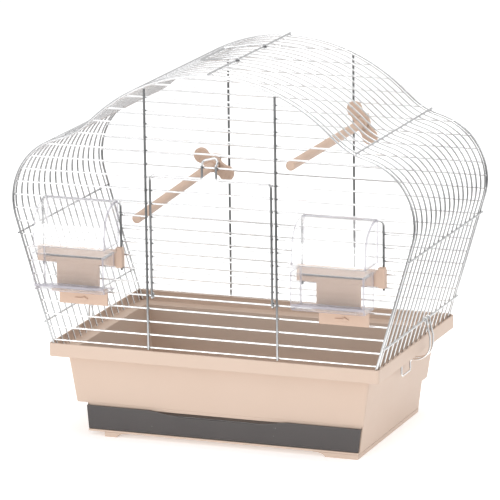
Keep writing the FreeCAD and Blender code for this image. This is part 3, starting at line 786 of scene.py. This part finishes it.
def build_base():
    """Tub and rim in one skin, the bay under it, the feet and the runner."""
    tray = Piece()
    tray.skin(tub_rings(), closed=True)
    front = -tub_bottom_front
    low = foot_height
    wall_top = bay_height + tub_edge
    left, right = -bay_left_bottom, bay_right_bottom
    for foot_x, top_x in ((left, -bay_left_top), (right - tub_wall, tub_bottom_half - tub_wall)):
        wall = [(foot_x, low), (foot_x + tub_wall, low), (top_x + tub_wall, wall_top), (top_x, wall_top)]
        tray.slab(wall, front, bay_back, mould_edge)
    back_wall = ((left, bay_back - tub_wall, low), (right, bay_back, bay_height + mould_edge))
    floor = ((left, -lip_reach, low), (right, bay_back, low + bay_floor))
    rail = ((-bay_left_top, front, bay_height - bay_rail),
            (tub_bottom_half - mould_edge, front + tub_wall, bay_height + mould_edge))
    for corners in (back_wall, floor, rail):
        tray.block(*corners, mould_edge)
    right_foot = right - foot_draft
    left_shape = foot_shape(-left_foot_inner, -foot_curve, -left_foot_outer, -left_foot_outer)
    right_shape = foot_shape(right_foot_inner, foot_curve, right_foot, right)
    for shape, near in ((left_shape, -lip_reach), (right_shape, -lip_reach),
                        (left_shape, bay_back - foot_depth)):
        tray.slab(shape, near, near + foot_depth)
    runner = [(right_foot - runner_wall, 0), (right_foot, 0), (right, low), (right_foot - runner_wall, low)]
    tray.slab(runner, foot_depth - lip_reach, bay_back)
    tray.done("tray_moulding", "cage", "beige_plastic", beige, ["base_tray"])


def build_drawer():
    """Shallow tray with a front plate that covers the mouth of the bay."""
    low = drawer_low.z
    plate_back = -tub_bottom_front - running_gap
    plate_high = bay_height - plate_drop
    scoop_low = plate_high - scoop_depth
    plate = [(-bay_left_bottom, low), (bay_right_bottom - plate_inset, low),
             (tub_bottom_half - plate_top_inset, plate_high), (scoop_half, plate_high),
             (scoop_flat_half, scoop_low), (-scoop_flat_half, scoop_low), (-scoop_half, plate_high),
             (-bay_left_top, plate_high)]
    tray = Piece()
    tray.slab(plate, plate_back - drawer_plate, plate_back, mould_edge)
    body = (bay_left_bottom - tub_wall - drawer_gap, bay_right_bottom - tub_wall - drawer_gap,
            -plate_back + drawer_plate / 2, drawer_high.y)
    steps = [(inset, low + lift) for inset, lift in quarter(drawer_edge)]
    steps += round_top(drawer_wall, low + drawer_height, edge_steps)
    steps += [(drawer_wall + inset, low + drawer_wall + lift)
              for inset, lift in reversed(quarter(drawer_edge))]
    tray.skin([rounded_ring(body, inset, drawer_corner, height) for inset, height in steps])
    tray.done("drawer_moulding", "drawer", "smoked_plastic", smoked, ["drawer"])


# Feeders: the clear boxes are built for the right-hand port, the holder about the middle of its port

def thin_box(piece, profile, middle, half, open_sides):
    """Thin-walled clear box of a profile in the depth; the listed sides of the profile stay open."""
    ends = [[(x, y, z) for y, z in profile] for x in (middle - half, middle + half)]
    solid = swept(*ends, feeder_edge, open_sides)
    shell = bpy.data.meshes.new("shell")
    solid.to_mesh(shell)
    solid.free()
    for finish in (clear, clear_edge):
        shell.materials.append(finish)
    carrier = linked("shell", shell)
    thick = carrier.modifiers.new("wall", "SOLIDIFY")
    thick.thickness = feeder_wall
    thick.offset = -1
    thick.material_offset_rim = 1
    thick.use_even_offset = True
    bpy.context.view_layer.update()
    walled = bmesh.new()
    walled.from_mesh(carrier.evaluated_get(bpy.context.evaluated_depsgraph_get()).to_mesh())
    bpy.data.objects.remove(carrier)
    bpy.data.meshes.remove(shell)
    piece.take(walled)


def flange(piece, side, profile, back):
    """Rim round three sides of a clear box; the profile holds reach out from the cup and rise."""
    front = -panel_place - cup_depth
    middle = cup_middles[side]
    rings = []
    for sign, place in ((-1, back), (-1, front), (1, front), (1, back)):
        rings.append([Vector((middle + sign * (cup_half + reach), place - (reach if place == front else 0),
                              base_height + rise)) for reach, rise in profile])
    piece.skin(rings)


def hood(piece, side):
    """Clear box with a round roof, open at the back and below, and a stepped collar."""
    collar_top = parting_rise + collar_height
    back = -panel_place - frame_wire / 2
    low = base_height + collar_top - collar_wall / 2
    top = base_height + hood_top_rise
    curve_y = -panel_place - hood_depth + hood_curve
    profile = [(back, low), (back, top)]
    profile += [(curve_y - hood_curve * sine, top - hood_curve + hood_curve * cosine)
                for cosine, sine in arc_steps(roof_steps)]
    profile.append((-panel_place - hood_depth - hood_lean, low))
    thin_box(piece, profile, feeder_middle, hood_half, (0, 1))
    inner = flange_reach - collar_wall
    step = collar_top - collar_wall
    profile = [(flange_reach, parting_rise), (flange_reach, collar_top), (-feeder_wall, collar_top),
               (-feeder_wall, step), (inner, step), (inner, parting_rise)]
    flange(piece, side, profile, -panel_place - bracket_depth)


def cup(piece, side):
    """Clear cup, open above, with a flat rim."""
    rim_top = parting_rise - running_gap
    rim_low = rim_top - flange_wall
    top = base_height + rim_top
    low = base_height + bracket_shelf_rise + running_gap
    back = -panel_place - bracket_depth - running_gap
    front = -panel_place - cup_depth
    profile = [(back, top), (back, low), (front + cup_bevel_depth, low), (front, low + cup_bevel),
               (front, top)]
    thin_box(piece, profile, cup_middles[side], cup_half, (0,))
    profile = [(flange_reach, rim_low), (flange_reach, rim_top), (lap, rim_top), (lap, rim_low)]
    flange(piece, side, profile, back)


def arrow(piece, front):
    """Raised arrow on the thumb lip, which points to the right."""
    middle = (bracket_lip_outer - bracket_lip_inner) / 2 - arrow_shift
    half = arrow_length / 2
    neck = half - arrow_head
    points = [(-half, -arrow_shaft / 2), (neck, -arrow_shaft / 2), (neck, -arrow_head / 2), (half, 0),
              (neck, arrow_head / 2), (neck, arrow_shaft / 2), (-half, arrow_shaft / 2)]
    height = base_height + arrow_rise
    piece.slab([(middle + x, height + z) for x, z in points], front, front - arrow_wall, arrow_edge)


def bracket(piece):
    """Bar clipped on the sides of its port, with a plate behind the cup, a shelf and a thumb lip."""
    front = -panel_place - bracket_depth
    jaw_front = -panel_place - frame_wire / 2
    top = base_height + bracket_bar_top
    bar_low = top - bracket_bar_height
    box_top = top + bracket_box_rise
    box_low = box_top - bracket_box_height
    box_left = bracket_half - bracket_box_width
    shelf = base_height + bracket_shelf_rise
    piece.slab([(-bracket_half, top), (-bracket_half, bar_low), (box_left, bar_low), (box_left, box_low),
                (bracket_half, box_low), (bracket_half, box_top), (box_left, box_top), (box_left, top)],
               front, jaw_front, mould_edge)
    for wire, low in ((-port_half, bar_low), (port_half, box_low)):
        for near in (wire - jaw_gap - jaw_wall, wire + jaw_gap):
            piece.block((near, jaw_front - jaw_wall / 2, low + lap),
                        (near + jaw_wall, jaw_front + jaw_grip, top - lap), lap)
    plate = ((lap - bracket_plate_inner, front + lap, shelf - bracket_wall / 2),
             (bracket_plate_outer - lap, front + bracket_wall, bar_low + mould_edge))
    ledge = ((-bracket_plate_inner, front - bracket_shelf_depth, shelf - bracket_wall),
             (bracket_plate_outer, front + mould_edge, shelf))
    lip = ((-bracket_lip_inner, front, base_height + bracket_lip_rise),
           (bracket_lip_outer, front + bracket_wall - lap, shelf - lap))
    for corners in (plate, ledge, lip):
        piece.block(*corners, mould_edge)
    arrow(piece, front)


def build_feeders():
    """Both feeders; the two holders are the same moulding, the clear boxes are mirrored."""
    for side, sign in SIDES.items():
        roof, pot, holder = Piece(), Piece(), Piece()
        hood(roof, side)
        cup(pot, side)
        if side == "left":
            roof.mirrored()
            pot.mirrored()
        bracket(holder)
        holder.moved(Matrix.Translation(ALONG_X * (sign * port_centre)))
        roof.done("feeder_roof_" + side, "cage", "clear_plastic", clear, ["feeder_hood_" + side],
                  clear_edge)
        pot.done("feeder_pot_" + side, "cup_" + side, "clear_plastic", clear_cup, ["feeder_cup_" + side],
                 clear_edge)
        holder.done("feeder_holder_" + side, "cage", "tan_plastic", tan, ["feeder_bracket_" + side])


# Perches, built along the depth with the wing upright and then turned and placed

bars_front = panel_place - frame_wire / 2 - bar_wire


def tilt_room(reach, droop):
    """Room that a face needs towards the bars when the perch droops, out to a reach from its axis."""
    return running_gap + reach * math.sin(math.radians(droop))


def lock_start(droop):
    return tilt_room(bar_pitch / 2, droop) + bar_wire + tilt_room(lock_half, droop)


def perch_matrix(perch, turn):
    height = base_height + bar_rises[perch.bar] + bar_pitch / 2
    place = Matrix.Translation((perch.place, bars_front - tilt_room(bar_pitch / 2, perch.droop), height))
    return (place @ Matrix.Rotation(math.radians(perch.droop), 4, "X")
            @ Matrix.Rotation(math.radians(turn), 4, "Y"))


def rod(piece, perch):
    radius = perch_diameter / 2
    end = perch.length - perch_edge
    profile = [(0, radius)] + [(end + perch_edge * sine, radius - perch_edge + perch_edge * cosine)
                               for cosine, sine in arc_steps(edge_steps)]
    piece.turned(-ALONG_Y * wing_wall, -ALONG_Y, profile, rod_sides)


def wing_shape():
    """Outline of the two-lobed plate."""
    middle = wing_half - wing_lobe
    spread = math.pi - math.asin(wing_waist / wing_lobe)
    angles = [-spread + 2 * spread * step / lobe_steps for step in range(lobe_steps + 1)]
    return [(side * (middle + wing_lobe * math.cos(angle)), side * wing_lobe * math.sin(angle))
            for side in (1, -1) for angle in angles]


def wing(piece, perch):
    """Two-lobed plate with ribs and pad, the rod's socket and the neck between two bars."""
    piece.slab(wing_shape(), -wing_recess, -wing_wall, wing_edge)
    for side in (-1, 1):
        for rib in (-1, 0, 1):
            x = side * (wing_half - wing_lobe) + rib * rib_pitch
            reach = wing_lobe - rib_inset - abs(rib) * wing_edge
            piece.block((x - rib_half, -wing_wall - rib_rise, -reach),
                        (x + rib_half, wing_edge - wing_wall, reach), rib_edge)
    outer = perch_diameter / 2 + socket_wall
    collar = wing_wall + socket_depth
    pad = [(0, wing_pad - mould_edge), (mould_edge, wing_pad), (wing_wall - mould_edge, wing_pad),
           (wing_wall, wing_pad - mould_edge)]
    socket = [(wing_wall / 2, outer), (collar - mould_edge, outer), (collar, outer - mould_edge),
              (collar, perch_diameter / 2 + socket_fit)]
    neck = neck_diameter / 2
    neck_end = lock_start(perch.droop) + lock_wall
    piece.turned(Vector(), -ALONG_Y, pad)
    piece.turned(Vector(), -ALONG_Y, socket)
    piece.turned(-ALONG_Y * mould_edge, ALONG_Y,
                 [(0, neck), (neck_end, neck), (neck_end + mould_edge, neck - mould_edge)])


def lock(piece, perch):
    """Cross bar behind the back bars."""
    start = lock_start(perch.droop)
    half = lock_width / 2
    piece.block((-half, start, -lock_half), (half, start + lock_wall, lock_half), wing_edge)


def build_perches():
    for side, perch in perches.items():
        for name, build, turn in (("rod", rod, 0), ("wing", wing, -perch.wing_turn), ("lock", lock, 0)):
            piece = Piece()
            build(piece, perch)
            piece.moved(perch_matrix(perch, turn))
            node = "perch_" + name + "_" + side
            piece.done("perch_" + side + "_" + name, "perch_" + side, "tan_plastic", tan, [node])


# Finishes

white = (1.0, 1.0, 1.0)
# Heights in metres between which the painted reflection of the beige base on the wires fades out
painted_reflection_full = 0.11
painted_reflection_end = 0.17


class Value:
    """One output of a node; arithmetic on it adds Math nodes."""

    def __init__(self, finish, socket):
        self.finish = finish
        self.socket = socket

    def math(self, operation, first, second):
        return self.finish.node("ShaderNodeMath", {"operation": operation}, {0: first, 1: second})

    def __add__(self, other):
        return self.math("ADD", self, other)

    def __mul__(self, other):
        return self.math("MULTIPLY", self, other)

    __radd__ = __add__
    __rmul__ = __mul__


class Finish:
    """A material, whose nodes are added by one method."""

    def __init__(self, name, constants):
        self.material = bpy.data.materials.new(name)
        self.material.use_nodes = True
        self.tree = self.material.node_tree
        self.shader = self.tree.nodes["Principled BSDF"]
        for socket, value in constants.items():
            self.shader.inputs[socket].default_value = value
        self.place = self.node("ShaderNodeTexCoord", {}, {}, "Object")

    def feed(self, socket, value):
        if isinstance(value, Value):
            self.tree.links.new(value.socket, socket)
        else:
            socket.default_value = value

    def node(self, kind, settings, inputs, output=0):
        made = self.tree.nodes.new(kind)
        for name, value in settings.items():
            setattr(made, name, value)
        for socket, value in inputs.items():
            self.feed(made.inputs[socket], value)
        return Value(self, made.outputs[output])

    def noise(self, per_metre, detail=2.0, roughness=0.5):
        return self.node("ShaderNodeTexNoise", {}, {
            "Vector": self.place, "Scale": per_metre, "Detail": detail, "Roughness": roughness})

    def between(self, share, low, high):
        """Colour between two, by a share."""
        return self.node("ShaderNodeMix", {"data_type": "RGBA"}, {0: share, 6: low, 7: high}, 2)

    def bump(self, height, strength, distance):
        return self.node("ShaderNodeBump", {}, {
            "Strength": strength, "Distance": distance, "Height": height})

    def sheen(self, share, roughness):
        """Lay a mirror-like surface over the shader by a share."""
        gloss = self.node("ShaderNodeBsdfGlossy", {}, {"Color": (*white, 1.0), "Roughness": roughness})
        under = Value(self, self.shader.outputs[0])
        both = self.node("ShaderNodeMixShader", {}, {0: share, 1: under, 2: gloss})
        self.feed(self.tree.nodes["Material Output"].inputs["Surface"], both)
        return self.material

    def wear(self, **sockets):
        for name, value in sockets.items():
            self.feed(self.shader.inputs[name.replace("_", " ").title()], value)
        return self.material


def shade(red, green, blue):
    """Linear colour of a shade that is given as seen, from 0 to 255."""
    return tuple((part / 255) ** 2.2 for part in (red, green, blue)) + (1.0,)


def moulded_plastic(name, light, dark, grain):
    """Matt moulded plastic: slightly uneven colour, fine spark-eroded grain and faint handling marks."""
    finish = Finish(name, {"IOR": 1.5, "Specular IOR Level": 0.4})
    cloud = finish.noise(14.0, 3.0)
    speck = finish.noise(grain, 2.0, 0.6)
    smear = finish.noise(55.0, 4.0, 0.6)
    colour = finish.between(cloud * 0.8 + speck * 0.2, dark, light)
    return finish.wear(base_color=colour, roughness=0.36 + smear * 0.16,
                       normal=finish.bump(speck * 0.7 + smear * 0.3, 0.12, 0.0002))


def zinc_with_painted_reflection(name, darkest_painted_shade):
    """Zinc plating with drawing lines and small stains, and painted reflection: a painted highlight on
    level faces, painted shade on upright ones.

    All of it is painted lighter low down, a painted reflection of the beige base under the wires.
    """
    finish = Finish(name, {"Metallic": 1.0})
    stain = finish.noise(45.0, 4.0, 0.6)
    streak = finish.noise(900.0)
    # Painted highlight and shade: level faces get the bright colour and upright faces the dark one, in
    # place of reflections of the studio.
    facing = finish.node("ShaderNodeNewGeometry", {}, {}, "Normal")
    level = finish.node("ShaderNodeSeparateXYZ", {}, {0: facing}, "Z")
    level = finish.node("ShaderNodeMath", {"operation": "ABSOLUTE"}, {0: level}) * 3.0
    height = finish.node("ShaderNodeSeparateXYZ", {}, {0: finish.place}, "Z")
    # Painted reflection of the beige base: the wires are painted lighter below the given heights.
    painted_base_reflection = finish.node("ShaderNodeMapRange", {}, {0: height, 1: painted_reflection_full, 2: painted_reflection_end, 3: 1.0, 4: 0.0})
    # Share of the light colours: real stains together with the painted reflection of the base.
    share = stain * 0.3 + painted_base_reflection * 0.7
    upright_painted_shade = finish.between(share, (darkest_painted_shade, darkest_painted_shade, darkest_painted_shade, 1.0), (0.60, 0.61, 0.62, 1.0))
    level_painted_highlight = finish.between(share, (0.80, 0.80, 0.81, 1.0), (0.99, 0.99, 0.98, 1.0))
    return finish.wear(base_color=finish.between(level, upright_painted_shade, level_painted_highlight),
                       roughness=0.17 + stain * 0.12 + streak * 0.05,
                       normal=finish.bump(streak, 0.08, 0.0001))


def smoked_finish():
    """Smoked see-through plastic, dark at its edges."""
    finish = Finish("smoked_tray", {"IOR": 1.49, "Transmission Weight": 0.3})
    cloud = finish.noise(18.0, 3.0)
    scuff = finish.noise(160.0, 5.0, 0.7)
    edge = finish.node("ShaderNodeLayerWeight", {}, {"Blend": 0.25}, "Facing")
    tone = finish.between(cloud, shade(80, 76, 76), shade(91, 86, 85))
    colour = finish.between(edge * 0.6, tone, shade(62, 54, 48))
    return finish.wear(base_color=colour, roughness=0.16 + scuff * 0.16,
                       normal=finish.bump(scuff, 0.05, 0.0002))


def clear_finish(name, face_on, edge_on, cover, gloss):
    """Thin clear plastic: a veil face on, darker edge on, with a sheen and light scuffs."""
    finish = Finish(name, {"IOR": 1.5})
    scuff = finish.noise(120.0, 5.0, 0.7)
    cloud = finish.noise(30.0)
    edge = finish.node("ShaderNodeLayerWeight", {}, {"Blend": 0.35}, "Facing")
    slant = edge * edge * edge
    finish.wear(base_color=finish.between(slant, face_on, edge_on), roughness=0.1 + scuff * 0.1,
                alpha=cover * (0.7 + cloud * 0.6) + slant * 0.5)
    return finish.sheen(gloss + slant * 0.4, 0.08)


beige = moulded_plastic("beige_moulding", shade(205, 183, 167), shade(199, 176, 159), 1400.0)
tan = moulded_plastic("tan_moulding", shade(202, 176, 158), shade(194, 166, 147), 1800.0)
# Both zinc materials carry painted reflection. The arches get a lighter painted shade on their upright
# faces than the other wires.
zinc = zinc_with_painted_reflection("zinc_plating_painted_reflection", 0.05)
arch_zinc_lighter_painted_shade = zinc_with_painted_reflection("zinc_arches_painted_reflection", 0.12)
smoked = smoked_finish()
lilac = (0.44, 0.39, 0.47, 1.0)
clear = clear_finish("clear_styrene", (0.92, 0.91, 0.93, 1.0), lilac, 0.05, 0.05)
clear_cup = clear_finish("clear_styrene_cups", (0.80, 0.78, 0.82, 1.0), lilac, 0.02, 0.012)
clear_edge = clear_finish("clear_styrene_edges", (0.37, 0.35, 0.40, 1.0), (0.25, 0.23, 0.27, 1.0),
                          0.58, 0.05)


# Studio and camera

floor_half = 12.0
camera_azimuth = 20.98
camera_elevation = 13.39
camera_roll = -0.72
camera_distance = 4.5096
camera_aim = Vector((0.0, 0.0, 0.245))
camera_offset = (0.00206, 0.05686)
camera_lens = 307.7
sensor_width = 36.0


def add_floor():
    """White paper that gives back a little light of its own."""
    mesh = bpy.data.meshes.new("floor")
    corners = [(x * floor_half, y * floor_half, base_low.z * METRES)
               for x, y in ((-1, -1), (1, -1), (1, 1), (-1, 1))]
    mesh.from_pydata(corners, [], [(0, 1, 2, 3)])
    finish = Finish("floor_paper", {"Roughness": 0.9, "Specular IOR Level": 0.1,
                                    "Emission Color": (*white, 1.0), "Emission Strength": 0.35})
    mesh.materials.append(finish.wear(base_color=(0.93, 0.93, 0.93, 1.0)))
    floor = linked("floor", mesh)


def add_light(name, place, aim, size, watts, tint=white):
    light = bpy.data.lights.new(name, "AREA")
    light.shape = "RECTANGLE"
    light.size, light.size_y = size
    light.energy = watts
    light.color = tint
    lamp = linked(name, light)
    lamp.location = place
    lamp.rotation_euler = (Vector(aim) - Vector(place)).to_track_quat("-Z", "Y").to_euler()


def add_world():
    """Even white light from all round."""
    world = bpy.data.worlds.new("studio")
    world.use_nodes = True
    bpy.context.scene.world = world
    back = world.node_tree.nodes["Background"]
    back.inputs["Color"].default_value = (*white, 1.0)
    back.inputs["Strength"].default_value = 0.6


def add_camera():
    turns = (camera_azimuth, camera_elevation, camera_roll)
    azimuth, elevation, roll = (math.radians(turn) for turn in turns)
    back = Vector((math.sin(azimuth) * math.cos(elevation), -math.cos(azimuth) * math.cos(elevation),
                   math.sin(elevation)))
    level = Vector((math.cos(azimuth), math.sin(azimuth), 0))
    upright = back.cross(level)
    right = level * math.cos(roll) + upright * math.sin(roll)
    up = upright * math.cos(roll) - level * math.sin(roll)
    camera = bpy.data.cameras.new("camera")
    camera.lens = camera_lens
    camera.sensor_width = sensor_width
    camera.clip_end = 100.0
    place = camera_aim + depth_shift * METRES + back * camera_distance
    place -= right * camera_offset[0] + up * camera_offset[1]
    eye = linked("camera", camera)
    eye.matrix_world = Matrix.Translation(place) @ Matrix((right, up, back)).transposed().to_4x4()
    bpy.context.scene.camera = eye


def build_studio():
    bpy.context.scene.view_settings.view_transform = "Standard"
    add_world()
    add_floor()
    add_light("top", (0.2, 0.3, 2.2), (0, 0, 0.2), (2.4, 1.6), 30.0)
    add_light("front", (-1.1, -2.7, 1.9), (0, 0, 0.2), (1.8, 2.6), 20.0)
    add_light("window", (-0.8, -2.0, 0.42), (0, 0, 0.26), (0.9, 0.8), 10.0)
    add_light("right", (2.6, -0.4, 1.2), (0, 0, 0.2), (1.4, 1.4), 10.0, (0.96, 0.98, 1.0))
    add_camera()


for build in (build_panels, build_port_frames, build_arches, build_cross_wires, build_door, build_handle,
              build_clips, build_base, build_drawer, build_feeders, build_perches, build_studio):
    build()
